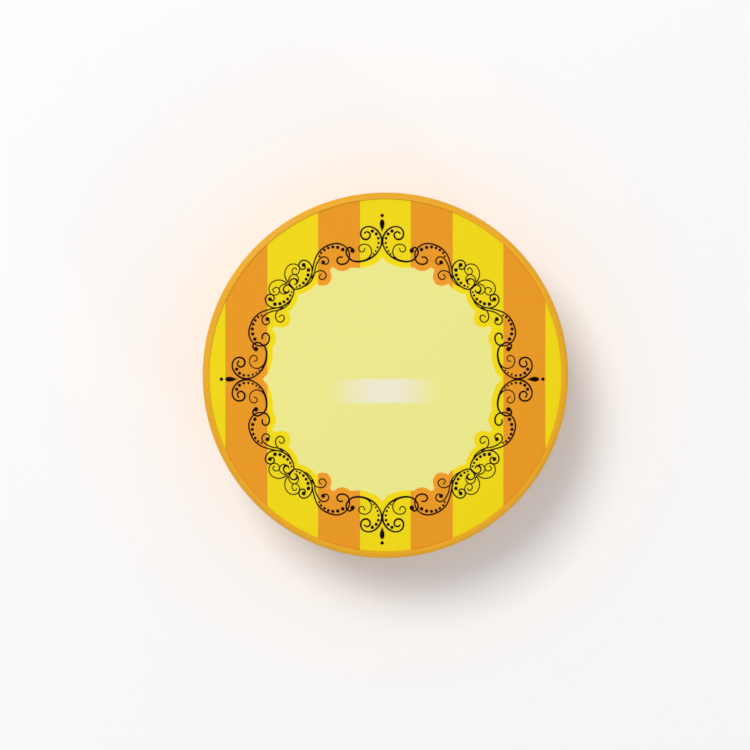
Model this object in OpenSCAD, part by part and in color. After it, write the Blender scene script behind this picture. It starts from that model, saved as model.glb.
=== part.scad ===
// Flat round jar of nail care pads: a double-wall moulded jar, a ribbed screw lid that
// carries a round label and a foam liner, a foil seal on the mouth, and a stack of felt pads.
// The jar stands on its base at z = 0 with its axis on +Z, and the label reads with +Y up.
// The sizes run outwards from the pads, so each wall follows what it has to hold.

/* [Pads] */
// Number of pads in the stack
pad_count = 32; // [8:1:50]
// Diameter of one pad
pad_d = 51; // [40:0.5:60]
// Thickness of one pad
pad_t = 0.46; // [0.3:0.01:0.6]
// Air between one pad and the next
pad_air = 0.02; // [0.01:0.01:0.05]
// Free space round the stack, on each side
pad_gap = 1.5; // [1:0.1:3]
// Free height between the top pad and the mouth
headspace = 1.4; // [0.8:0.1:4]

/* [Jar] */
// Wall of the inner cup and its neck
cup_wall = 1.6; // [1.2:0.1:2.4]
// Thickness of the cup's floor
floor_t = 1.4; // [1:0.1:3]
// Height of the underside of the floor above the table
base_recess = 0.8; // [0.4:0.1:2]
// Rounding between the cup's wall and floor, inside
floor_fillet = 1.2; // [0.4:0.1:1.4]
// Height of the neck above the ledge
neck_h = 9; // [6:0.1:11]
// Thickness of the ledge that joins the cup and the outer wall
ledge_t = 1.4; // [1:0.1:2.4]
// Thickness of the outer wall
outer_wall = 1.5; // [1.3:0.1:1.8]
// How far the outer wall stands inside the lid's shoulder
body_inset = 0.5; // [0.3:0.1:0.9]
// Rounding of the outer wall at the table
foot_round = 0.7; // [0.3:0.1:0.9]
// Rounding of the ledge's outer edge
ledge_round = 0.6; // [0.3:0.1:0.9]
// Rounding of the mouth's edges
lip_round = 0.35; // [0.2:0.05:0.5]
// Number of stiffening webs between the cup and the outer wall
web_count = 16; // [8:1:32]
// Thickness of one web
web_t = 1; // [0.6:0.1:2]
// Height of the webs above the table
web_lift = 1.2; // [0.9:0.1:3]
// Diameter of the sunk disc round the moulding gate
gate_disc_d = 16; // [8:1:30]
// Depth of the sunk disc
gate_disc_depth = 0.4; // [0.2:0.05:0.6]
// Diameter of the gate's stub in the sunk disc
gate_d = 2.4; // [1.5:0.1:4]
// Height of the gate's stub
gate_h = 0.25; // [0.1:0.05:0.4]

/* [Closure] */
// Height of a thread, for which the gap between neck and skirt leaves room
thread_h = 1; // [0.8:0.05:1.5]
// Free space past a thread's crest
thread_play = 0.35; // [0.2:0.05:0.6]
// Free height between the lid's skirt and the ledge
skirt_gap = 0.4; // [0.2:0.1:1]

/* [Lid] */
// Wall of the skirt between two ribs
lid_wall = 1.6; // [1.2:0.1:2.4]
// Height of a rib above the skirt's wall
rib_h = 0.5; // [0.3:0.05:0.6]
// Width of a rib
rib_w = 1.3; // [1.2:0.1:1.6]
// Number of ribs round the skirt
rib_count = 90; // [48:6:102]
// Height of the plain band under the ribs
band_h = 1.2; // [0.8:0.1:2]
// How far the shoulder stands past the ribs
shoulder_out = 0.45; // [0.4:0.05:1]
// Height of the shoulder
shoulder_h = 2.8; // [2.4:0.1:4]
// Rounding of the shoulder's top edge
shoulder_round = 0.9; // [0.6:0.05:1]
// Rounding under the shoulder and at the skirt's outer edge
edge_round = 0.35; // [0.2:0.05:0.4]
// Thickness of the top panel under the label
panel_t = 1.5; // [1.2:0.1:2.5]
// Width of the rim round the label, with its rounding
rim_w = 1.2; // [1.15:0.05:3]
// Depth of the recess that the label lies in
recess = 0.35; // [0.25:0.05:0.6]
// Radius of the bead that keeps the liner in
bead_r = 0.4; // [0.3:0.05:0.5]

/* [Label, liner and seal] */
// Thickness of the label
label_t = 0.18; // [0.1:0.01:0.24]
// Free space round the label
label_gap = 0.1; // [0.05:0.05:0.5]
// Thickness of the foam liner
liner_t = 1; // [0.6:0.1:2]
// Free space round the liner
liner_gap = 0.3; // [0.2:0.05:0.35]
// Thickness of the foil
foil_t = 0.12; // [0.08:0.01:0.2]
// How far the foil stays inside the neck's outer face
foil_inset = 0.4; // [0.2:0.05:0.8]
// Width of the pull tab
tab_w = 12; // [8:0.5:20]
// Length of the pull tab, folded back over the foil
tab_l = 10; // [7:0.5:16]

/* [Hidden] */
pad_r = pad_d / 2;
bore_r = pad_r + pad_gap;
neck_r = bore_r + cup_wall;
lid_bore_r = neck_r + thread_h + thread_play;
skirt_r = lid_bore_r + lid_wall;
rib_r = skirt_r + rib_h;
lid_r = rib_r + shoulder_out;
body_r = lid_r - body_inset;
recess_r = lid_r - rim_w;
label_r = recess_r - label_gap;
liner_r = lid_bore_r - liner_gap;
foil_r = neck_r - foil_inset;

pad_pitch = pad_t + pad_air;
floor_z = base_recess + floor_t;
mouth_z = floor_z + pad_count * pad_pitch + headspace;
ledge_z = mouth_z - neck_h;
foil_z = mouth_z + foil_t;
liner_z = foil_z + foil_t;
panel_z = liner_z + liner_t;
recess_z = panel_z + panel_t;
top_z = recess_z + recess;
skirt_z = ledge_z + skirt_gap;
shoulder_z = top_z - shoulder_h;

// How deep a web is rooted in the walls that it joins
root = 0.3;
// How far a cut runs past the face that it opens
past = 1;
// Fineness of round shapes
$fn = 120;

// Pads are counted upwards from the jar's floor
function pad_name(i) = str("pad_", i < 10 ? "0" : "", i);

// The part of a section between two radii and two heights
module band(r0, r1, z0, z1) {
    translate([r0, z0]) square([r1 - r0, z1 - z0]);
}

// What a rounding takes off the corner of a section at (r, z).
// side_r and side_z are 1 or -1, and point from the corner into the material.
module round_off(r, z, size, side_r, side_z) {
    difference() {
        translate([side_r > 0 ? r - past : r - size, side_z > 0 ? z - past : z - size])
            square(size + past);
        translate([r + side_r * size, z + side_z * size]) circle(size);
    }
}

// Section of the space inside the cup, with its floor's rounded edge
module cup_space() {
    difference() {
        band(0, bore_r, floor_z, mouth_z + past);
        round_off(bore_r, floor_z, floor_fillet, -1, 1);
    }
}

// Section of the jar: cup and neck, ledge, and outer wall down to the table
module jar_section() {
    difference() {
        union() {
            band(0, neck_r, base_recess, mouth_z);
            band(neck_r - root, body_r, ledge_z - ledge_t, ledge_z);
            band(body_r - outer_wall, body_r, 0, ledge_z);
        }
        cup_space();
        band(0, gate_disc_d / 2, base_recess - past, base_recess + gate_disc_depth);
        round_off(neck_r, mouth_z, lip_round, -1, -1);
        round_off(bore_r, mouth_z, lip_round, 1, -1);
        round_off(body_r, ledge_z, ledge_round, -1, -1);
        round_off(body_r, 0, foot_round, -1, 1);
    }
}

// Stiffening webs in the gap between the cup and the outer wall
module jar_webs() {
    gap = body_r - outer_wall - neck_r;
    for (i = [0:web_count - 1])
        rotate([0, 0, i * 360 / web_count])
            translate([neck_r - root, -web_t / 2, web_lift])
                cube([gap + 2 * root, web_t, ledge_z - ledge_t + root - web_lift]);
}

module jar() {
    color("orange") {
        rotate_extrude() jar_section();
        jar_webs();
        translate([0, 0, base_recess + gate_disc_depth - gate_h])
            cylinder(d = gate_d, h = gate_h + root);
    }
}

// Section of the lid without its ribs: skirt, shoulder, panel with the label's recess
module lid_section() {
    difference() {
        union() {
            band(0, skirt_r, skirt_z, top_z);
            band(0, rib_r, skirt_z, skirt_z + band_h);
            band(0, lid_r, shoulder_z, top_z);
        }
        band(0, lid_bore_r, skirt_z - past, panel_z);
        band(0, recess_r, recess_z, top_z + past);
        round_off(lid_r, top_z, shoulder_round, -1, -1);
        round_off(lid_r, shoulder_z, edge_round, -1, 1);
        round_off(rib_r, skirt_z, edge_round, -1, 1);
    }
    // The bead stands out of the skirt's bore just under the liner
    translate([lid_bore_r, liner_z - bead_r]) circle(bead_r);
}

// Upright round-nosed ribs, which give the fingers a grip
module lid_ribs() {
    translate([0, 0, skirt_z + band_h / 2])
        linear_extrude(shoulder_z + edge_round - skirt_z - band_h / 2)
            for (i = [0:rib_count - 1])
                rotate(i * 360 / rib_count)
                    translate([rib_r - rib_w / 2, 0])
                        circle(d = rib_w);
}

module lid() {
    color("orange") {
        rotate_extrude() lid_section();
        lid_ribs();
    }
}

module lid_label() {
    color("gold")
        translate([0, 0, recess_z])
            cylinder(r = label_r, h = label_t);
}

module lid_liner() {
    color("white")
        translate([0, 0, liner_z])
            cylinder(r = liner_r, h = liner_t);
}

// The membrane, and its tab, which hinges at the front edge and lies folded back on it
module foil_seal() {
    color("silver") {
        translate([0, 0, mouth_z])
            cylinder(r = foil_r, h = foil_t);
        intersection() {
            translate([0, 0, foil_z])
                cylinder(r = foil_r, h = foil_t);
            translate([-tab_w / 2, -foil_r, foil_z])
                cube([tab_w, tab_l, foil_t]);
        }
    }
}

module pad(i) {
    color("white")
        translate([0, 0, floor_z + (i - 1) * pad_pitch])
            cylinder(r = pad_r, h = pad_t);
}

jar();
lid();
lid_label();
lid_liner();
foil_seal();
for (i = [1:pad_count]) pad(i);
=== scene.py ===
"""Looks of the round jar of nail care pads.

The camera looks straight down on the lid, as the photograph does, with the label's top at +Y.
The jar and lid keep their CAD solids and gain screw threads. The printed label, the liner, the
foil seal and the felt pads are modelled here in full. Lengths are in metres unless a name or a
comment says millimetres.
"""

import math

import bmesh
import bpy
import numpy as np
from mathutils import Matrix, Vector, noise


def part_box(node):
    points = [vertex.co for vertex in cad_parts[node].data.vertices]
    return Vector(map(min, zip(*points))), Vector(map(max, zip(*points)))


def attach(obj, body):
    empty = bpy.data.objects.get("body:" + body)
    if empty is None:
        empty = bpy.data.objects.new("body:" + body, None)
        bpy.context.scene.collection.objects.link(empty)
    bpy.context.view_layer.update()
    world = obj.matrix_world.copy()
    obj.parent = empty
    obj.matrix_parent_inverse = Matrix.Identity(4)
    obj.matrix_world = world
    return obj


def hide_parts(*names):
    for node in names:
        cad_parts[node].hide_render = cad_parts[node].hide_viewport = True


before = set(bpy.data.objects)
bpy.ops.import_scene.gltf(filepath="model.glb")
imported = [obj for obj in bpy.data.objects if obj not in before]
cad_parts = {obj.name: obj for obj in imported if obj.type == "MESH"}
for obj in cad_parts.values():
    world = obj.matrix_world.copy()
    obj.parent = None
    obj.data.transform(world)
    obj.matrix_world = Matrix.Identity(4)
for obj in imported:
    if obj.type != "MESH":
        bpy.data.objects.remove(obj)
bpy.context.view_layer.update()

MM = 0.001
TAU = 2 * math.pi

# Sizes that the frame gives: the closed lid, its label, and the mouth of the jar
LID_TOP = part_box("lid")[1].z
LABEL_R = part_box("lid_label")[1].x
LABEL_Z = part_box("lid_label")[0].z
LABEL_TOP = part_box("lid_label")[1].z
MOUTH_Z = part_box("jar")[1].z
PADS = sorted(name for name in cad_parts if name.startswith("pad_"))

# Sizes of the neck and skirt that the frame's boxes don't show
NECK_R = 28.6 * MM
BORE_R = 27.0 * MM
LID_BORE_R = 29.95 * MM


# Materials


def linear(code):
    """The linear colour, with alpha, of an sRGB hex code such as "#ED9A1C"."""
    values = [int(code[i : i + 2], 16) / 255 for i in (1, 3, 5)]
    return [v / 12.92 if v < 0.04045 else ((v + 0.055) / 1.055) ** 2.4 for v in values] + [1]


def plug(node, inputs):
    """Gives a node's inputs, by name or number, their values or the outputs that feed them."""
    for key, value in inputs.items():
        if isinstance(value, bpy.types.NodeSocket):
            node.id_data.links.new(value, node.inputs[key])
        else:
            node.inputs[key].default_value = value


def add(material, kind, inputs, **settings):
    """Adds one shader node to a material, with its settings and its inputs."""
    node = material.node_tree.nodes.new("ShaderNode" + kind)
    for key, value in settings.items():
        setattr(node, key, value)
    plug(node, inputs)
    return node


def new_material(name, colour, inputs):
    """A material, its shader, and the socket that gives each point's place on the piece."""
    material = bpy.data.materials.new(name)
    material.use_nodes = True
    material.diffuse_color = linear(colour)
    shader = material.node_tree.nodes["Principled BSDF"]
    plug(shader, {"Base Color": linear(colour), **inputs})
    place = add(material, "TexCoord", {}).outputs["Object"]
    return material, shader, place


# Marks of the moulding in the amber plastic. The mould's spark grain is about 0.05 mm across,
# too fine to show, so it is drawn at 0.35 mm.
FLOW_MARK = 14 * MM
HANDLED_PATCH = 2.5 * MM
MOULD_GRAIN = 0.35 * MM
MOULD_GRAIN_DEPTH = 0.004 * MM
# How far the light goes into the plastic
PLASTIC_DEPTH = 0.8 * MM


def moulded_polypropylene(name, colour, darker, roughness, gloss):
    """Injection-moulded polypropylene, dyed through.

    The eye sees a satin skin with soft edges, faint darker flow marks, duller patches where it
    was handled, and a fine grain from the mould.
    """
    inputs = {
        "Roughness": roughness,
        "Specular IOR Level": gloss,
        "Subsurface Weight": 0.06,
        "Subsurface Radius": (1.0, 0.5, 0.15),
        "Subsurface Scale": PLASTIC_DEPTH,
    }
    material, shader, place = new_material(name, colour, inputs)
    flow = add(material, "TexNoise", {"Vector": place, "Scale": 1 / FLOW_MARK, "Detail": 3})
    flow = add(material, "MapRange", {"Value": flow.outputs[0], "From Min": 0.3, "From Max": 0.7})
    shades = {0: flow.outputs[0], 6: linear(colour), 7: linear(darker)}
    tint = add(material, "Mix", shades, data_type="RGBA")
    worn = add(material, "TexNoise", {"Vector": place, "Scale": 1 / HANDLED_PATCH, "Detail": 4})
    spread = {"From Min": 0.3, "From Max": 0.7, "To Min": roughness - 0.05, "To Max": roughness + 0.08}
    worn = add(material, "MapRange", {"Value": worn.outputs[0], **spread})
    grain = add(material, "TexNoise", {"Vector": place, "Scale": 1 / MOULD_GRAIN, "Detail": 3})
    bump = add(material, "Bump", {"Height": grain.outputs[0], "Distance": MOULD_GRAIN_DEPTH})
    plug(
        shader,
        {"Base Color": tint.outputs[2], "Roughness": worn.outputs[0], "Normal": bump.outputs[0]},
    )
    return material


# The matt film of the label: how rough it is, and how strongly it reflects, where bare plastic
# has 0.5. The black ink is duller still.
FILM_ROUGHNESS = 0.55
FILM_GLOSS = 0.07
BLACK_GLOSS = 0.02
# The film is faintly wavy, and the ink on it a little uneven
FILM_WAVE = 3 * MM
FILM_WAVE_DEPTH = 0.004 * MM
INK_MOTTLE = 0.5 * MM


def printed_film(name, colour, gloss=FILM_GLOSS):
    """Ink printed on a matt film: flat and even, with a slight mottle and hardly a highlight."""
    inputs = {"Roughness": FILM_ROUGHNESS, "Specular IOR Level": gloss}
    material, shader, place = new_material(name, colour, inputs)
    mottle = add(material, "TexNoise", {"Vector": place, "Scale": 1 / INK_MOTTLE})
    spread = {"From Min": 0.3, "From Max": 0.7, "To Max": 0.05}
    mottle = add(material, "MapRange", {"Value": mottle.outputs[0], **spread})
    dark = [c * 0.8 for c in linear(colour)[:3]] + [1]
    shades = {0: mottle.outputs[0], 6: linear(colour), 7: dark}
    tint = add(material, "Mix", shades, data_type="RGBA")
    wave = add(material, "TexNoise", {"Vector": place, "Scale": 1 / FILM_WAVE})
    bump = add(material, "Bump", {"Height": wave.outputs[0], "Distance": FILM_WAVE_DEPTH})
    plug(shader, {"Base Color": tint.outputs[2], "Normal": bump.outputs[0]})
    return material


# The white band on the medallion: its centre, and half its width and height
BAND_CENTRE = (-0.2 * MM, -2.8 * MM)
BAND_HALF = (10.9 * MM, 2.37 * MM)
# Where its fade begins and ends, as shares of half its width and of half its height
BAND_FADES = ((0.05, 1.0), (0.75, 1.05))


def medallion_film(name, colour, band):
    """The pale print of the medallion, with a soft white band that fades out to its sides."""
    inputs = {"Roughness": FILM_ROUGHNESS, "Specular IOR Level": FILM_GLOSS}
    material, shader, place = new_material(name, colour, inputs)
    axes = add(material, "SeparateXYZ", {"Vector": place})
    fades = []
    for axis in (0, 1):
        gap = {0: axes.outputs[axis], 1: BAND_CENTRE[axis]}
        gap = add(material, "Math", gap, operation="SUBTRACT")
        gap = add(material, "Math", {0: gap.outputs[0]}, operation="ABSOLUTE")
        low, high = [share * BAND_HALF[axis] for share in BAND_FADES[axis]]
        spread = {"From Min": low, "From Max": high, "To Min": 1, "To Max": 0}
        fade = {"Value": gap.outputs[0], **spread}
        fade = add(material, "MapRange", fade, interpolation_type="SMOOTHSTEP")
        fades.append(fade.outputs[0])
    amount = add(material, "Math", {0: fades[0], 1: fades[1]}, operation="MULTIPLY")
    shades = {0: amount.outputs[0], 6: linear(colour), 7: linear(band)}
    tint = add(material, "Mix", shades, data_type="RGBA")
    wave = add(material, "TexNoise", {"Vector": place, "Scale": 1 / FILM_WAVE})
    bump = add(material, "Bump", {"Height": wave.outputs[0], "Distance": FILM_WAVE_DEPTH})
    plug(shader, {"Base Color": tint.outputs[2], "Normal": bump.outputs[0]})
    return material


LID_PLASTIC = moulded_polypropylene("amber_polypropylene_lid", "#EBAA1D", "#E7A61B", 0.42, 0.2)
JAR_PLASTIC = moulded_polypropylene("amber_polypropylene_jar", "#EFAC1E", "#EBA71B", 0.34, 0.4)
YELLOW = printed_film("yellow_print", "#EDD612")
ORANGE = printed_film("orange_print", "#E79822")
PALE_YELLOW = printed_film("pale_yellow_print", "#F2DA10")
PALE_ORANGE = printed_film("pale_orange_print", "#F09A28")
BLACK = printed_film("black_print", "#180604", BLACK_GLOSS)


# Mesh making


def new_object(name, mesh, materials, body):
    """Puts a finished mesh in the scene, riding on a CAD body."""
    thing = bpy.data.objects.new(name, mesh)
    bpy.context.scene.collection.objects.link(thing)
    for material in materials:
        mesh.materials.append(material)
    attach(thing, body)
    return thing


def solid(name, points, faces, material, body, smooth=True):
    """An object from plain lists of points and faces."""
    mesh = bpy.data.meshes.new(name)
    mesh.from_pydata([tuple(p) for p in points], [], faces)
    mesh.validate()
    if smooth:
        mesh.polygons.foreach_set("use_smooth", [True] * len(mesh.polygons))
    return new_object(name, mesh, [material], body)


def natural_spline(points, step):
    """Points every step along the natural cubic spline through the given points."""
    p = np.array(points, float)
    run = np.concatenate([[0], np.cumsum(np.linalg.norm(np.diff(p, axis=0), axis=1))])
    h = np.diff(run)
    n = len(p)
    system = np.eye(n)
    right = np.zeros((n, 2))
    for i in range(1, n - 1):
        system[i, i - 1 : i + 2] = h[i - 1], 2 * (h[i - 1] + h[i]), h[i]
        right[i] = 6 * ((p[i + 1] - p[i]) / h[i] - (p[i] - p[i - 1]) / h[i - 1])
    bend = np.linalg.solve(system, right)
    at = np.linspace(0, run[-1], max(4, int(round(run[-1] / step))))
    k = np.clip(np.searchsorted(run, at, side="right") - 1, 0, n - 2)
    a = ((run[k + 1] - at) / h[k])[:, None]
    b = ((at - run[k]) / h[k])[:, None]
    square = (h[k] ** 2)[:, None] / 6
    return a * p[k] + b * p[k + 1] + ((a**3 - a) * bend[k] + (b**3 - b) * bend[k + 1]) * square


# The printed label

# The scrollwork is drawn on a square grid. Its outermost dots lie 165 units from its centre,
# and one eighth of it is drawn: from the upright axis, round to the diagonal on its right.
SCROLL_REACH = 28.97 * MM
GRID = SCROLL_REACH / 165
# The print is a little narrower than it is high, and lies off the label's centre
PRINT_SCALE = (0.985, 1.003)
PRINT_SHIFT = (-0.575 * MM, -0.69 * MM)

# Each stroke has its points in order and its widths, spaced evenly from start to end
STROKES = {
    "axis_scroll": (
        [
            (18.4, 146.9), (15.6, 148.5), (12.5, 146.3), (13.0, 142.9), (16.6, 140.8), (20.6, 142.5),
            (21.9, 146.0), (20.4, 151.0), (15.0, 153.7), (8.6, 152.4), (3.2, 147.6), (0.7, 141.6),
            (0.8, 136.2), (3.3, 130.2), (8.6, 124.1), (16.0, 120.2), (24.7, 118.5), (31.2, 119.8),
            (35.8, 124.4), (36.8, 129.4), (33.6, 132.7), (30.2, 131.0),
        ],
        (1.5, 1.9, 1.5, 1.9, 1.4, 2.1, 1.6, 1.8),
    ),
    "axis_tendril": (
        [
            (18.0, 132.0), (18.8, 129.1), (21.3, 128.2), (23.9, 130.6), (22.9, 134.2), (18.6, 136.0),
            (13.6, 134.5), (10.9, 129.4), (12.3, 123.8), (17.0, 120.0),
        ],
        (1.0, 1.1, 1.1, 1.5),
    ),
    "arch": (
        [
            (40.7, 122.9), (44.2, 122.8), (46.4, 119.8), (44.6, 116.6), (40.6, 115.8), (36.2, 117.4),
            (33.8, 122.3), (34.4, 129.0), (38.4, 133.9), (45.5, 136.7), (53.4, 135.5), (61.0, 131.7),
            (66.6, 125.5), (69.6, 118.0), (71.5, 110.0), (73.4, 102.2), (77.4, 96.2),
        ],
        (1.5, 1.7, 1.4, 1.5, 1.6, 1.4, 1.3, 1.6),
    ),
    "ball_tendril": (
        [
            (60.3, 116.8), (57.6, 115.7), (55.1, 118.2), (56.6, 122.3), (61.0, 123.1), (65.6, 118.9),
            (68.6, 111.8), (69.8, 105.0), (72.6, 99.4), (76.8, 95.1), (80.6, 93.3),
        ],
        (1.2, 1.3, 1.3, 1.1, 1.2),
    ),
    "plain_tendril": (
        [
            (62.5, 105.8), (64.7, 103.0), (63.0, 100.7), (59.6, 101.0), (57.4, 104.6), (59.8, 108.4),
            (65.2, 109.1), (69.4, 106.6), (72.2, 101.8),
        ],
        (1.0, 1.2, 1.2, 1.1),
    ),
    "corner_scroll": (
        [
            (80.2, 114.8), (78.8, 112.7), (81.2, 110.7), (84.6, 112.2), (85.2, 116.4), (81.6, 119.7),
            (76.0, 118.3), (72.3, 113.2), (72.0, 106.9), (74.6, 100.2), (79.3, 94.5), (85.0, 91.2),
            (91.0, 91.0), (95.4, 96.6),
        ],
        (1.3, 1.4, 1.3, 1.4, 1.5, 1.3, 1.8),
    ),
    "outer_curl": (
        [
            (96.6, 97.6), (99.4, 102.5), (99.6, 108.6), (96.2, 114.3), (90.4, 116.1), (86.0, 114.1),
            (84.8, 109.6), (87.4, 105.8), (91.3, 106.1), (92.2, 110.0), (89.6, 112.2), (87.6, 110.2),
        ],
        (1.3, 1.0, 1.1, 1.0, 1.1),
    ),
    "middle_curl": (
        [(96.0, 98.6), (94.7, 103.0), (90.8, 105.4), (87.0, 103.8), (85.8, 100.3), (87.0, 97.4)],
        (1.2, 1.0, 1.0, 1.0),
    ),
    "inner_curl": (
        [(94.9, 97.4), (93.2, 100.3), (90.0, 101.2), (87.3, 99.0), (88.0, 96.2), (90.0, 95.5)],
        (1.2, 1.3, 2.2, 0.9),
    ),
}

# Dots are (across, up, radius)
DOTS = [
    (10.1, 149.2, 1.4), (6.1, 146.3, 1.35), (4.0, 142.0, 1.15), (3.7, 137.2, 1.0),
    (4.7, 132.8, 0.9), (6.6, 129.1, 0.8), (8.9, 126.3, 0.7),
    (40.4, 130.6, 1.5), (45.6, 132.8, 1.4), (50.6, 133.2, 1.3), (55.3, 132.2, 1.15),
    (59.2, 130.1, 1.1), (62.6, 127.2, 1.0), (64.2, 123.8, 0.85),
    (75.6, 110.0, 1.55), (76.0, 104.9, 1.4), (78.0, 100.7, 1.25), (80.8, 97.0, 1.2),
    (84.4, 94.3, 1.0), (87.7, 92.9, 0.8),
    (30.4, 129.5, 2.0), (60.5, 117.6, 1.8), (80.5, 115.1, 1.75),
]
# The black spreads past each dot as it is drawn, and by a larger share round a small one
LARGE_DOT = 1.7
LARGE_SPREAD = 1.16
SMALL_SPREAD = 1.24

# The outermost dot and the drop on the axis, and the dark heart on the diagonal. The drop and
# the heart are given as half an outline, from one end of the mirror line to the other.
AXIS_DOT = (0, 164.9, 1.75)
DROP = [(0, 161.3), (1.5, 160.1), (2.4, 156.7), (1.9, 153.6), (0.8, 150.8), (0, 148.6)]
HEART = [(90.8, 90.8), (92.4, 93.2), (94.0, 95.9), (95.2, 96.4), (95.6, 95.6)]

# The scalloped edge of the medallion, lobe by lobe; each lobe is one smooth line
LOBES = [
    [(0, 123.4), (2.8, 121.2), (5.2, 118.6), (11.2, 115.9), (18.0, 113.8), (25.0, 113.0), (32.5, 113.5)],
    [(32.5, 113.5), (36.0, 111.2), (40.8, 109.8), (45.8, 110.8), (50.8, 113.9)],
    [(50.8, 113.9), (52.8, 112.2), (54.0, 110.3)],
    [(54.0, 110.3), (52.5, 105.0), (53.6, 99.4), (57.0, 95.9), (61.2, 94.9), (65.2, 95.5), (68.5, 97.0)],
    [(68.5, 97.0), (71.6, 93.4), (76.2, 90.0), (81.0, 87.6), (86.4, 86.4)],
]
MEDALLION_SCALE = 0.992
HALO_WIDTH = 5.0

# Upright stripes, with a yellow one on the centre line
YELLOW_W = 8.98 * MM
ORANGE_W = 7.46 * MM

# The film all but fills the recess in the lid
LABEL_SPREAD = 0.08 * MM

# Heights of the print's layers over the film. Each black figure lies a trace over the last, so
# that figures that cross never share a face.
HALO_UP = 0.008 * MM
MEDALLION_UP = 0.016 * MM
INK_UP = 0.026 * MM
INK_STEP = 0.000075 * MM

# How finely round shapes and lines are drawn: points in a circle, and grid units from one point
# of a line to the next
FILM_POINTS = 256
DOT_POINTS = 20
HALO_POINTS = 720
EDGE_STEP = 0.8
STROKE_STEP = 0.5


def eighths(points):
    """The eight turned and mirrored copies of some grid points, as arrays in metres."""
    p = np.array(points, float)
    for quarter in range(4):
        for flip in (1, -1):
            q = p * (flip, 1)
            for _ in range(quarter):
                q = np.stack([q[:, 1], -q[:, 0]], axis=1)
            yield q * PRINT_SCALE * GRID + PRINT_SHIFT


def dot_outline(x, y, r):
    """The edge of a round dot, in grid units."""
    angles = np.arange(DOT_POINTS) * TAU / DOT_POINTS
    return [(x + r * math.cos(a), y + r * math.sin(a)) for a in angles]


def slab(bm, outline, low, high, middle=None):
    """A flat closed plate with this outline, fanned from its middle."""
    middle = np.mean(outline, axis=0) if middle is None else middle
    rows = [[bm.verts.new((x, y, z)) for x, y in outline] for z in (low, high)]
    hubs = [bm.verts.new((*middle, z)) for z in (low, high)]
    n = len(outline)
    for i in range(n):
        j = (i + 1) % n
        bm.faces.new((hubs[0], rows[0][j], rows[0][i]))
        bm.faces.new((hubs[1], rows[1][i], rows[1][j]))
        bm.faces.new((rows[0][i], rows[0][j], rows[1][j], rows[1][i]))


def ribbon(bm, line, widths, low, high):
    """A line of ink with rounded ends, whose width runs through the given widths."""
    along = np.linspace(0, len(widths) - 1, len(line))
    half = np.interp(along, range(len(widths)), widths) / 2
    course = np.gradient(line, axis=0)
    course /= np.linalg.norm(course, axis=1)[:, None]
    side = np.stack([-course[:, 1], course[:, 0]], axis=1) * half[:, None]
    left, right = line + side, line - side
    nose = line[-1] + course[-1] * half[-1]
    tail = line[0] - course[0] * half[0]
    left = np.vstack([tail, left, nose])
    right = np.vstack([tail, right, nose])
    corners = [
        [bm.verts.new((x, y, z)) for x, y in row]
        for row, z in ((left, low), (left, high), (right, high), (right, low))
    ]
    for i in range(len(left) - 1):
        j = i + 1
        for a, b in zip(corners, corners[1:] + corners[:1]):
            bm.faces.new((a[i], b[i], b[j], a[j]))


def into_object(name, bm, materials, body, by_stripe=False):
    """Closes up a bmesh, splits it at the stripes if asked, and makes an object of it."""
    bmesh.ops.remove_doubles(bm, verts=bm.verts, dist=1e-8)
    bmesh.ops.recalc_face_normals(bm, faces=bm.faces)
    if by_stripe:
        period = YELLOW_W + ORANGE_W
        for k in range(-2, 3):
            for edge in (k * period - YELLOW_W / 2, k * period + YELLOW_W / 2):
                everything = bm.verts[:] + bm.edges[:] + bm.faces[:]
                bmesh.ops.bisect_plane(
                    bm, geom=everything, plane_co=(edge, 0, 0), plane_no=(1, 0, 0)
                )
        for face in bm.faces:
            x = face.calc_center_median().x + YELLOW_W / 2
            face.material_index = 0 if x % period < YELLOW_W else 1
    mesh = bpy.data.meshes.new(name)
    bm.to_mesh(mesh)
    bm.free()
    return new_object(name, mesh, materials, body)


def medallion_outline():
    """The whole scalloped edge, in order round its centre, in metres."""
    eighth = np.vstack([natural_spline(lobe, EDGE_STEP)[:-1] for lobe in LOBES] + [[LOBES[-1][-1]]])
    quarter = np.vstack([eighth, eighth[-2::-1, ::-1]])
    turns = []
    for _ in range(4):
        turns.append(quarter[:-1])
        quarter = np.stack([quarter[:, 1], -quarter[:, 0]], axis=1)
    return np.vstack(turns) * PRINT_SCALE * MEDALLION_SCALE * GRID


def widened(outline, by):
    """The outline of a star-shaped figure, pushed outwards by a fixed distance all round."""
    far = np.linalg.norm(outline, axis=1)
    bearing = np.arctan2(outline[:, 1], outline[:, 0])
    result = []
    for a in np.arange(HALO_POINTS) * TAU / HALO_POINTS:
        gap = far * np.sin(bearing - a)
        near = (np.abs(gap) <= by) & (np.cos(bearing - a) > 0)
        reach = far[near] * np.cos(bearing[near] - a) + np.sqrt(by**2 - gap[near] ** 2)
        result.append((reach.max() * math.cos(a), reach.max() * math.sin(a)))
    return np.array(result)


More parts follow.
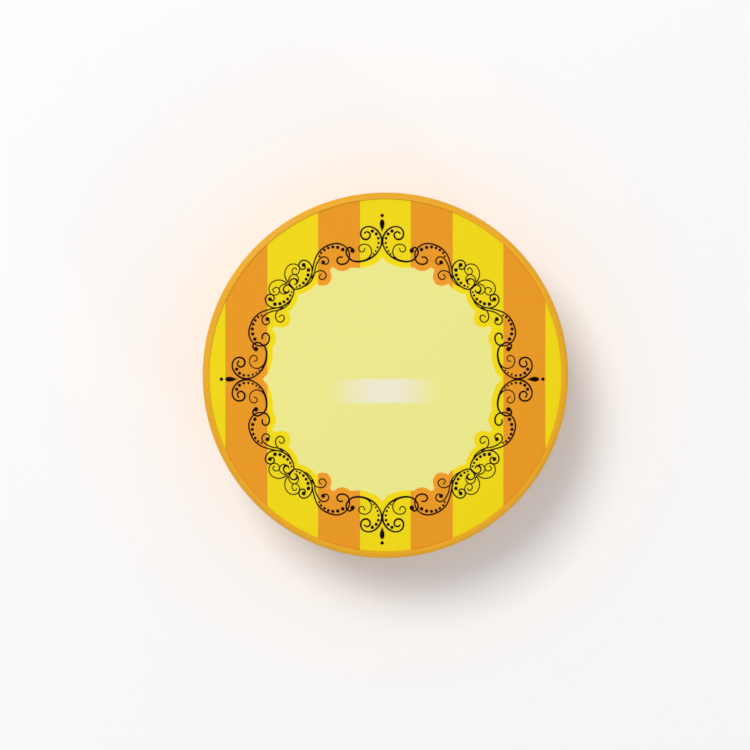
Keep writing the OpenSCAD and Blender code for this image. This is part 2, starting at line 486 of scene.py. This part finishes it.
def make_label():
    """The film with its stripes, then the halo, the medallion and the black scrollwork on it."""
    radius = LABEL_R + LABEL_SPREAD
    angles = np.arange(FILM_POINTS) * TAU / FILM_POINTS
    circle = [(radius * math.cos(a), radius * math.sin(a)) for a in angles]
    film = bmesh.new()
    slab(film, circle, LABEL_Z, LABEL_TOP)
    inks = [YELLOW, ORANGE]
    film = into_object("label_film", film, inks, "lid", by_stripe=True)
    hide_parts("lid_label")

    edge = medallion_outline()
    halo = bmesh.new()
    wide = widened(edge, HALO_WIDTH * GRID) + PRINT_SHIFT
    slab(halo, wide, LABEL_TOP, LABEL_TOP + HALO_UP, PRINT_SHIFT)
    pales = [PALE_YELLOW, PALE_ORANGE]
    into_object("label_halo", halo, pales, "lid", by_stripe=True)

    centre = bmesh.new()
    slab(centre, edge + PRINT_SHIFT, LABEL_TOP, LABEL_TOP + MEDALLION_UP, PRINT_SHIFT)
    pale = medallion_film("medallion_print", "#EAE68B", "#EEE8D0")
    into_object("label_medallion", centre, [pale], "lid")

    ink = bmesh.new()
    top = LABEL_TOP + INK_UP
    for points, widths in STROKES.values():
        line = natural_spline(points, STROKE_STEP)
        for copy in eighths(line):
            ribbon(ink, copy, np.array(widths) * GRID, LABEL_TOP, top)
            top += INK_STEP
    for x, y, drawn in DOTS:
        spread = LARGE_SPREAD if drawn >= LARGE_DOT else SMALL_SPREAD
        for copy in eighths(dot_outline(x, y, round(drawn * spread, 2))):
            slab(ink, copy, LABEL_TOP, top)
            top += INK_STEP
    drop = natural_spline(DROP, STROKE_STEP)
    drop = np.vstack([drop, drop[-2:0:-1] * (-1, 1)])
    heart = natural_spline(HEART, STROKE_STEP)
    heart = np.vstack([heart, heart[-2:0:-1, ::-1]])
    for figure in (dot_outline(*AXIS_DOT), drop, heart):
        for copy in list(eighths(figure))[::2]:
            slab(ink, copy, LABEL_TOP, top)
            top += INK_STEP
    into_object("label_scrollwork", ink, [BLACK], "lid")


make_label()


# Screw threads

# Two starts of 4 mm pitch, so one turn lifts the lid by 8 mm
THREAD_LEAD = 8 * MM
THREAD_STARTS = 2
THREAD_SWEEP = math.radians(250)
THREAD_W = 2.1 * MM
THREAD_H = 0.9 * MM
# How deep a ridge is rooted in its wall
THREAD_ROOT = 0.08 * MM
# The flanks' share of half a ridge's width, and the share of a start over which it runs out
THREAD_FLANK = 0.55
THREAD_FADE = 0.07
THREAD_STEPS = 126
# How far the lid's thread lies under the neck's, so that their flanks just meet
THREAD_MESH = 1.12 * MM
# The lid's thread begins this far round, which keeps it clear of the skirt's edge
LID_THREAD_TURN = math.radians(50)


def thread(name, radius, outward, low_z, turn, material, body):
    """Thread ridges on a wall, each start running out into the wall at both ends.

    low_z is the helix's height at angle 0, and the ridges begin after turn radians along it.
    """
    across = np.linspace(-1, 1, 11)
    shape = np.clip((1 - np.abs(across)) / THREAD_FLANK, 0, 1)
    shape = shape * shape * (3 - 2 * shape)
    steps = THREAD_STEPS
    points, faces = [], []
    for start in range(THREAD_STARTS):
        base = len(points)
        for k in range(steps + 1):
            t = k / steps
            fade = min(1, min(t, 1 - t) / THREAD_FADE)
            fade = math.sin(fade * math.pi / 2)
            along = turn + t * THREAD_SWEEP
            a = start * TAU / THREAD_STARTS + along
            z = low_z + THREAD_LEAD * along / TAU
            for x, s in zip(across, shape):
                r = radius + outward * (THREAD_H * s * fade - THREAD_ROOT)
                up = z + x * THREAD_W / 2 * (0.5 + 0.5 * fade)
                points.append((r * math.cos(a), r * math.sin(a), up))
        n = len(across)
        for k in range(steps):
            for i in range(n):
                j = (i + 1) % n
                p, q = base + k * n, base + (k + 1) * n
                faces.append((p + i, p + j, q + j, q + i))
        faces.append(tuple(base + i for i in range(n)))
        faces.append(tuple(base + steps * n + i for i in reversed(range(n))))
    thing = solid(name, points, faces, material, body)
    bm = bmesh.new()
    bm.from_mesh(thing.data)
    bmesh.ops.recalc_face_normals(bm, faces=bm.faces)
    bm.to_mesh(thing.data)
    bm.free()


NECK_THREAD_Z = MOUTH_Z - 7.4 * MM
LID_THREAD_Z = NECK_THREAD_Z - THREAD_MESH
thread("neck_thread", NECK_R, 1, NECK_THREAD_Z, 0, JAR_PLASTIC, "jar")
thread("lid_thread", LID_BORE_R, -1, LID_THREAD_Z, LID_THREAD_TURN, LID_PLASTIC, "lid")


# Round plates: pads, liner and foil


def plate(name, radii, top, bottom, segments, material, body):
    """A closed round plate. top and bottom give its heights at a radius and an angle."""
    angles = np.arange(segments) * TAU / segments
    points = [(0, 0, bottom(0, 0)), (0, 0, top(0, 0))]
    for height in (bottom, top):
        for r in radii[1:]:
            points += [(r * math.cos(a), r * math.sin(a), height(r, a)) for a in angles]
    rings = len(radii) - 1
    faces = []
    for level in (0, 1):
        first = 2 + level * rings * segments
        for i in range(segments):
            j = (i + 1) % segments
            fan = (level, first + i, first + j)
            faces.append(fan if level else fan[::-1])
            for ring in range(rings - 1):
                p, q = first + ring * segments, first + (ring + 1) * segments
                quad = (p + i, q + i, q + j, p + j)
                faces.append(quad if level else quad[::-1])
    low = 2 + (rings - 1) * segments
    high = low + rings * segments
    for i in range(segments):
        j = (i + 1) % segments
        faces.append((low + i, low + j, high + j, high + i))
    return solid(name, points, faces, material, body)


def rounded(distance, size):
    """How far a rounded edge has dropped at this distance in from the rim."""
    return 0 if distance >= size else size - math.sqrt(max(0, size**2 - (size - distance) ** 2))


# Felt fibres are about 0.02 mm thick, too fine to show, so they are drawn as strands 0.32 mm
# thick and seven times as long, in three directions
FELT_STRAND = 0.32 * MM
FELT_STRETCH = 0.14
FELT_TURNS = (0.3, 1.4, 2.5)
FELT_CLUMP = 2.2 * MM
FELT_DEPTH = 0.16 * MM


def needled_felt():
    """Needled white felt, damp: strands and clumps, painted shade in their hollows, a faint sheen."""
    inputs = {"Roughness": 0.7, "Sheen Weight": 0.25, "Sheen Roughness": 0.5}
    material, shader, place = new_material("damp_white_felt", "#FAF9F5", inputs)
    ways = []
    for turn in FELT_TURNS:
        way = {"Vector": place, "Scale": (FELT_STRETCH, 1, 1), "Rotation": (0, 0, turn)}
        way = add(material, "Mapping", way)
        strands = {"Vector": way.outputs[0], "Scale": 1 / FELT_STRAND, "Detail": 4, "Roughness": 0.65}
        ways.append(add(material, "TexNoise", strands).outputs[0])
    strands = add(material, "Math", {0: ways[0], 1: ways[1]}, operation="MAXIMUM")
    strands = add(material, "Math", {0: strands.outputs[0], 1: ways[2]}, operation="MAXIMUM")
    clumps = add(material, "TexNoise", {"Vector": place, "Scale": 1 / FELT_CLUMP, "Detail": 3})
    clumps = add(material, "Math", {0: clumps.outputs[0], 1: 0.35}, operation="MULTIPLY")
    height = {0: strands.outputs[0], 1: clumps.outputs[0]}
    height = add(material, "Math", height, operation="ADD").outputs[0]
    # The colour darkens where the strands and clumps lie low: painted shade in the hollows between them
    painted_hollow_shade = add(material, "MapRange", {"Value": height, "From Min": 0.62, "From Max": 0.92})
    shades = {0: painted_hollow_shade.outputs[0], 6: linear("#E9E6DC"), 7: linear("#FFFEFC")}
    tint = add(material, "Mix", shades, data_type="RGBA")
    bump = add(material, "Bump", {"Height": height, "Distance": FELT_DEPTH})
    plug(shader, {"Base Color": tint.outputs[2], "Normal": bump.outputs[0]})
    return material


# Over the pads' faces run waves this long, which leave each pad free of its neighbours
PAD_WAVE = 6 * MM
PAD_WAVE_HEIGHT = 0.03 * MM
PAD_CLEARANCE = 0.035 * MM
# The punched edge is rounded by this share of the pad's thickness
PAD_EDGE = 0.36


def make_pads():
    """Thin felt rounds, each a little wavy, with soft punched edges."""
    material = needled_felt()
    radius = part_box("pad_01")[1].x
    radii = [r * MM for r in (0, 3, 6, 9, 12, 15, 18, 21, 23.5)]
    radii += [radius - inset * MM for inset in (1.2, 0.6, 0.3, 0.14, 0.05, 0)]
    for number, node in enumerate(PADS):
        low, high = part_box(node)
        thick = high.z - low.z
        last = node == PADS[-1]

        def swell(r, a, seed):
            place = Vector((r * math.cos(a), r * math.sin(a), seed * 7.3 * MM)) / PAD_WAVE
            fine = noise.noise(place * 5.5)
            return (noise.noise(place) + 0.35 * fine) * PAD_WAVE_HEIGHT + PAD_CLEARANCE

        def top(r, a):
            return high.z - swell(r, a, number + 0.5) - rounded(radius - r, thick * PAD_EDGE)

        def bottom(r, a):
            return low.z + swell(r, a, number) + rounded(radius - r, thick * PAD_EDGE)

        body = "top_pad" if last else "pad_stack"
        pad = plate(node.replace("pad", "felt"), radii, top, bottom, 96, material, body)
        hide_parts(node)


make_pads()


# The foam's cells at their real size
FOAM_CELL = 0.38 * MM
FOAM_CELL_DEPTH = 0.03 * MM
# The liner's edge is rounded, and the jar's mouth has pressed a ring in it
LINER_EDGE = 0.3 * MM
RING_DEPTH = 0.09 * MM
RING_HALF_W = 0.75 * MM


def polyethylene_foam():
    """Sliced white closed-cell foam: soft to the light, with tiny darker cells."""
    inputs = {
        "Roughness": 0.55,
        "Subsurface Weight": 0.2,
        "Subsurface Radius": (1.0, 1.0, 0.9),
        "Subsurface Scale": 0.6 * MM,
    }
    material, shader, place = new_material("white_polyethylene_foam", "#F3F2EE", inputs)
    cells = add(material, "TexVoronoi", {"Vector": place, "Scale": 1 / FOAM_CELL})
    cells = cells.outputs["Distance"]
    amount = add(material, "MapRange", {"Value": cells, "From Min": 0.1, "From Max": 0.7})
    shades = {0: amount.outputs[0], 6: linear("#F7F6F3"), 7: linear("#E8E6DF")}
    tint = add(material, "Mix", shades, data_type="RGBA")
    bump = add(material, "Bump", {"Height": cells, "Distance": FOAM_CELL_DEPTH})
    plug(shader, {"Base Color": tint.outputs[2], "Normal": bump.outputs[0]})
    return material


def make_liner():
    """The foam disc, with rounded edges and the ring that the jar's mouth has pressed in it."""
    low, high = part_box("lid_liner")
    radius = high.x
    radii = [r * MM for r in (0, 8, 16, 22, 26.2, 26.6, 27, 27.8, 28.4, 28.8)]
    radii += [radius - inset * MM for inset in (0.3, 0.18, 0.08, 0.02, 0)]

    def bottom(r, a):
        ring = math.exp(-(((r - (NECK_R + BORE_R) / 2) / RING_HALF_W) ** 4))
        return low.z + RING_DEPTH * ring + rounded(radius - r, LINER_EDGE)

    def top(r, a):
        return high.z - rounded(radius - r, LINER_EDGE)

    foam = polyethylene_foam()
    liner = plate("foam_liner", radii, top, bottom, 192, foam, "liner")
    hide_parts("lid_liner")


make_liner()


# The foil is pressed with a grid of diamonds, and is a little crumpled and unevenly dull
DIAMOND = 2 * MM
CRUMPLE = 4 * MM
DULL_PATCH = 6 * MM
FOIL_RELIEF = 0.1 * MM


def embossed_aluminium():
    """Rolled aluminium foil, embossed: bright, with a diamond grid that breaks the highlights."""
    inputs = {"Metallic": 1.0, "Roughness": 0.3}
    material, shader, place = new_material("embossed_foil", "#ECECEC", inputs)
    axes = add(material, "SeparateXYZ", {"Vector": place})
    waves = []
    for operation in ("ADD", "SUBTRACT"):
        wave = add(material, "Math", {0: axes.outputs[0], 1: axes.outputs[1]}, operation=operation)
        turns = TAU / DIAMOND / math.sqrt(2)
        wave = add(material, "Math", {0: wave.outputs[0], 1: turns}, operation="MULTIPLY")
        waves.append(add(material, "Math", {0: wave.outputs[0]}, operation="SINE").outputs[0])
    grid = add(material, "Math", {0: waves[0], 1: waves[1]}, operation="MULTIPLY")
    grid = add(material, "Math", {0: grid.outputs[0], 1: 0.3}, operation="MULTIPLY")
    crumple = add(material, "TexNoise", {"Vector": place, "Scale": 1 / CRUMPLE, "Detail": 3})
    height = {0: grid.outputs[0], 1: crumple.outputs[0]}
    height = add(material, "Math", height, operation="ADD")
    bump = add(material, "Bump", {"Height": height.outputs[0], "Distance": FOIL_RELIEF})
    dull = {"Vector": place, "Scale": 1 / DULL_PATCH, "Detail": 3, "Roughness": 0.6}
    dull = add(material, "TexNoise", dull)
    spread = {"From Min": 0.3, "From Max": 0.7, "To Min": 0.24, "To Max": 0.36}
    dull = add(material, "MapRange", {"Value": dull.outputs[0], **spread})
    plug(shader, {"Roughness": dull.outputs[0], "Normal": bump.outputs[0]})
    return material


def heat_seal_lacquer():
    """The lacquer rolled on the foil's back, which the folded tab shows: dull and grey-white."""
    inputs = {"Metallic": 0.25, "Roughness": 0.45}
    material, shader, place = new_material("sealing_lacquer", "#DAD8D0", inputs)
    roll = add(material, "TexNoise", {"Vector": place, "Scale": 1 / (1.2 * MM), "Detail": 3})
    bump = add(material, "Bump", {"Height": roll.outputs[0], "Distance": 0.02 * MM})
    plug(shader, {"Normal": bump.outputs[0]})
    return material


FOIL_T = 0.11 * MM
# How deep the foil sags inside the mouth, and how deep and long its folds are
SAG = 0.16 * MM
FOLD_DEPTH = 0.3 * MM
FOLD_LENGTH = 6 * MM
# The puckers just inside the mouth's edge
PUCKERS = 40
PUCKER_DEPTH = 0.05 * MM
PUCKER_R = 26.4 * MM
PUCKER_HALF_W = 0.8 * MM
# The pull tab: its size, its sheet, the radius of its fold, and how its free end lifts
TAB_HALF_W = 6 * MM
TAB_L = 10 * MM
TAB_T = 0.03 * MM
TAB_BEND_R = 0.03 * MM
TAB_LIFT = 0.03 * MM
TAB_RIPPLE = 0.012 * MM


def make_membrane(radius, sheet_top):
    """The foil on the mouth, pressed down along its edge and slack inside it."""
    radii = list(np.linspace(0, 26, 53) * MM) + [r * MM for r in (26.4, 26.7, 27.0, 27.3, 27.8)]
    radii.append(radius)

    def slack(r, a):
        """How far the foil hangs here, with its shallow folds and edge puckers."""
        inside = min(1, max(0, 1.6 * (1 - (r / BORE_R) ** 2)))
        place = Vector((r * math.cos(a), r * math.sin(a), 0)) / FOLD_LENGTH
        fold = abs(noise.noise(place)) + 0.4 * abs(noise.noise(place * 2.3))
        ring = math.exp(-(((r - PUCKER_R) / PUCKER_HALF_W) ** 2))
        pucker = PUCKER_DEPTH * math.sin(PUCKERS * a) * ring
        return inside * (SAG + FOLD_DEPTH * fold) + max(0, pucker)

    def top(r, a):
        return sheet_top - slack(r, a)

    def bottom(r, a):
        return sheet_top - FOIL_T - slack(r, a) * 0.98

    foil = embossed_aluminium()
    membrane = plate("foil_membrane", radii, top, bottom, 240, foil, "seal")
    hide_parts("foil_seal")


def make_tab(radius, sheet_top):
    """The pull tab. It starts at the membrane's front edge and bends back over it, so that its
    lacquered side is up."""
    front = -math.sqrt(radius**2 - TAB_HALF_W**2)
    course = [(front + 0.15 * MM, sheet_top - 0.02 * MM)]
    fold_z = sheet_top + TAB_BEND_R + 0.005 * MM
    for k in range(9):
        a = -math.pi / 2 - k * math.pi / 8
        course.append((front + math.cos(a) * TAB_BEND_R, fold_z + math.sin(a) * TAB_BEND_R))
    for t in np.linspace(0.04, 1, 28):
        lift = TAB_LIFT * t**2 + TAB_RIPPLE * math.sin(9 * t)
        course.append((front + TAB_L * t, sheet_top + 0.065 * MM + lift))

    # The free end's corners are rounded over this length
    corner_l = TAB_HALF_W * 0.6
    across = 21
    points, faces = [], []
    for side in (0, 1):
        for y, z in course:
            corner = max(0, (y - (front + TAB_L - corner_l)) / corner_l)
            half_w = TAB_HALF_W * (1 - 0.4 * (1 - math.sqrt(max(0, 1 - corner**2))))
            for x in np.linspace(-half_w, half_w, across):
                points.append((x, y, z - side * TAB_T))
    along = len(course)
    back = along * across
    for i in range(along - 1):
        for j in range(across - 1):
            a, b = i * across + j, (i + 1) * across + j
            faces.append((a, a + 1, b + 1, b))
            faces.append((b + back, b + 1 + back, a + 1 + back, a + back))
    rim = [j for j in range(across)]
    rim += [i * across + across - 1 for i in range(1, along)]
    rim += [(along - 1) * across + j for j in range(across - 2, -1, -1)]
    rim += [i * across for i in range(along - 2, 0, -1)]
    for a, b in zip(rim, rim[1:] + rim[:1]):
        faces.append((b, a, a + back, b + back))
    solid("foil_tab", points, faces, heat_seal_lacquer(), "seal")


def make_foil():
    """The foil seal, whose CAD solid holds the membrane and, on it, the folded tab."""
    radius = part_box("foil_seal")[1].x
    sheet_top = (MOUTH_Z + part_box("foil_seal")[1].z) / 2
    make_membrane(radius, sheet_top)
    make_tab(radius, sheet_top)


make_foil()


# The CAD jar and lid take the amber plastic

for node, material in (("lid", LID_PLASTIC), ("jar", JAR_PLASTIC)):
    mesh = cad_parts[node].data
    mesh.materials.clear()
    mesh.materials.append(material)


# Floor, light and camera

# The photograph is 750 pixels square, and the lid's centre lies at this pixel of it. The view is
# this wide at the lid's top.
PHOTO_PX = 750
LID_CENTRE_PX = (385.4, 375.3)
VIEW_W = 133 * MM
LENS = 100
SENSOR = 36
FLOOR_HALF = 3.0


def make_floor():
    """A wide plain pale floor."""
    half = FLOOR_HALF
    points = [(-half, -half, 0), (half, -half, 0), (half, half, 0), (-half, half, 0)]
    mesh = bpy.data.meshes.new("floor")
    mesh.from_pydata(points, [], [(0, 1, 2, 3)])
    floor = bpy.data.objects.new("floor", mesh)
    bpy.context.scene.collection.objects.link(floor)
    mesh.materials.append(new_material("pale_floor", "#FAFAFB", {"Roughness": 0.9})[0])


def area_light(name, place, width, height, power, colour):
    """A rectangular soft light that faces the jar."""
    lamp = bpy.data.lights.new(name, "AREA")
    lamp.shape = "RECTANGLE"
    lamp.size = width
    lamp.size_y = height
    lamp.energy = power
    lamp.color = colour
    thing = bpy.data.objects.new(name, lamp)
    thing.location = place
    towards_jar = Vector((0, 0, LID_TOP / 2)) - Vector(place)
    thing.rotation_euler = towards_jar.to_track_quat("-Z", "Y").to_euler()
    bpy.context.scene.collection.objects.link(thing)


# The fill is a little cool and the key as much warmer, so that together they are white
FILL_COLOUR = (0.94, 1.0, 1.07, 1)
KEY_COLOUR = (1.08, 1.0, 0.9)
WHITE = (1.0, 1.0, 1.0)


def make_light():
    """A fill all round, a key from the top left, and a weak upright light from the front right
    for the jar's wall."""
    world = bpy.data.worlds.new("studio")
    bpy.context.scene.world = world
    world.use_nodes = True
    plug(world.node_tree.nodes["Background"], {"Color": FILL_COLOUR, "Strength": 0.575})
    area_light("key", (-0.3, 0.4, 0.93), width=0.4, height=0.4, power=5.25, colour=KEY_COLOUR)
    area_light("wall_light", (0.42, -0.5, 0.2), width=0.12, height=0.5, power=0.45, colour=WHITE)


def make_camera():
    """A camera that looks straight down on the lid, framed as the photograph is."""
    data = bpy.data.cameras.new("camera")
    data.lens = LENS
    data.sensor_width = SENSOR
    camera = bpy.data.objects.new("camera", data)
    distance = VIEW_W / 2 / (SENSOR / 2 / LENS)
    x = (PHOTO_PX / 2 - LID_CENTRE_PX[0]) * VIEW_W / PHOTO_PX
    y = (LID_CENTRE_PX[1] - PHOTO_PX / 2) * VIEW_W / PHOTO_PX
    camera.location = (x, y, LID_TOP + distance)
    bpy.context.scene.collection.objects.link(camera)
    bpy.context.scene.camera = camera


make_floor()
make_light()
make_camera()
bpy.context.scene.view_settings.view_transform = "Standard"
